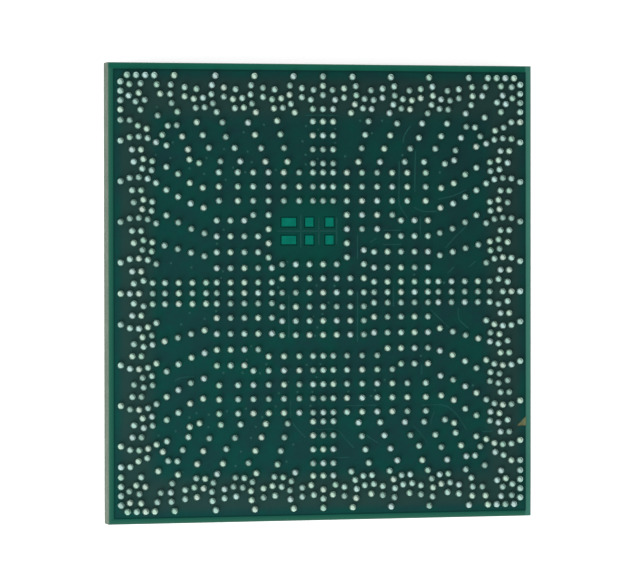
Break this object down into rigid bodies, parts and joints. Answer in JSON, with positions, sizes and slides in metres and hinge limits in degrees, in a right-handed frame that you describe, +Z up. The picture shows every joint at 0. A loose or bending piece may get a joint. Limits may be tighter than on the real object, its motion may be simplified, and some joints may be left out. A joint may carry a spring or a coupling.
{
  "type": "ball grid array package",
  "caption": "Flip-chip ball grid array package: a thin green laminate with a fitted pattern of solder balls on one side and a bare die on the other.",
  "frame": {"origin": "middle of the back of the die, on the surface that the package rests on", "axes": "+Z up through the ball side, +X along the width, +Y along the length"},
  "size_m": [0.024, 0.025, 0.0022],
  "materials": {
    "core_laminate": "sawn glass-fibre laminate",
    "via_copper": "plated copper",
    "buildup_film": "filled epoxy film",
    "plane_copper": "etched copper",
    "land_copper": "bare copper",
    "coated_land": "copper under solder mask",
    "mark_gold": "dull gold plating",
    "solder_mask": "satin solder mask",
    "ball_solder": "reflowed tin alloy",
    "bump_solder": "reflowed tin alloy",
    "joint_solder": "bright solder fillet",
    "silicon": "ground silicon",
    "underfill_resin": "cured filled resin",
    "capacitor_ceramic": "sintered ceramic",
    "capacitor_metal": "plated tin"
  },
  "bodies": {
    "root": {"core": "core_laminate", "core_vias": "via_copper", "ball_side_film": "buildup_film", "die_side_film": "buildup_film", "ball_side_copper": "plane_copper", "ball_lands": "land_copper", "coated_lands": "coated_land", "orientation_mark": "mark_gold", "ball_side_mask": "solder_mask", "corner_balls": "ball_solder", "back_edge_balls": "ball_solder", "front_edge_balls": "ball_solder", "left_edge_balls": "ball_solder", "right_edge_balls": "ball_solder", "back_fan_balls": "ball_solder", "front_fan_balls": "ball_solder", "left_fan_balls": "ball_solder", "right_fan_balls": "ball_solder", "length_arm_balls": "ball_solder", "width_arm_balls": "ball_solder", "back_grid_balls": "ball_solder", "front_grid_balls": "ball_solder", "left_grid_balls": "ball_solder", "right_grid_balls": "ball_solder", "centre_grid_balls": "ball_solder", "die_side_copper": "plane_copper", "bump_pads": "land_copper", "capacitor_lands": "land_copper", "die_side_mask": "solder_mask", "solder_bumps": "bump_solder", "underfill": "underfill_resin", "die": "silicon", "capacitor_bodies": "capacitor_ceramic", "capacitor_terminals": "capacitor_metal", "capacitor_solder": "joint_solder"}
  },
  "joints": []
}
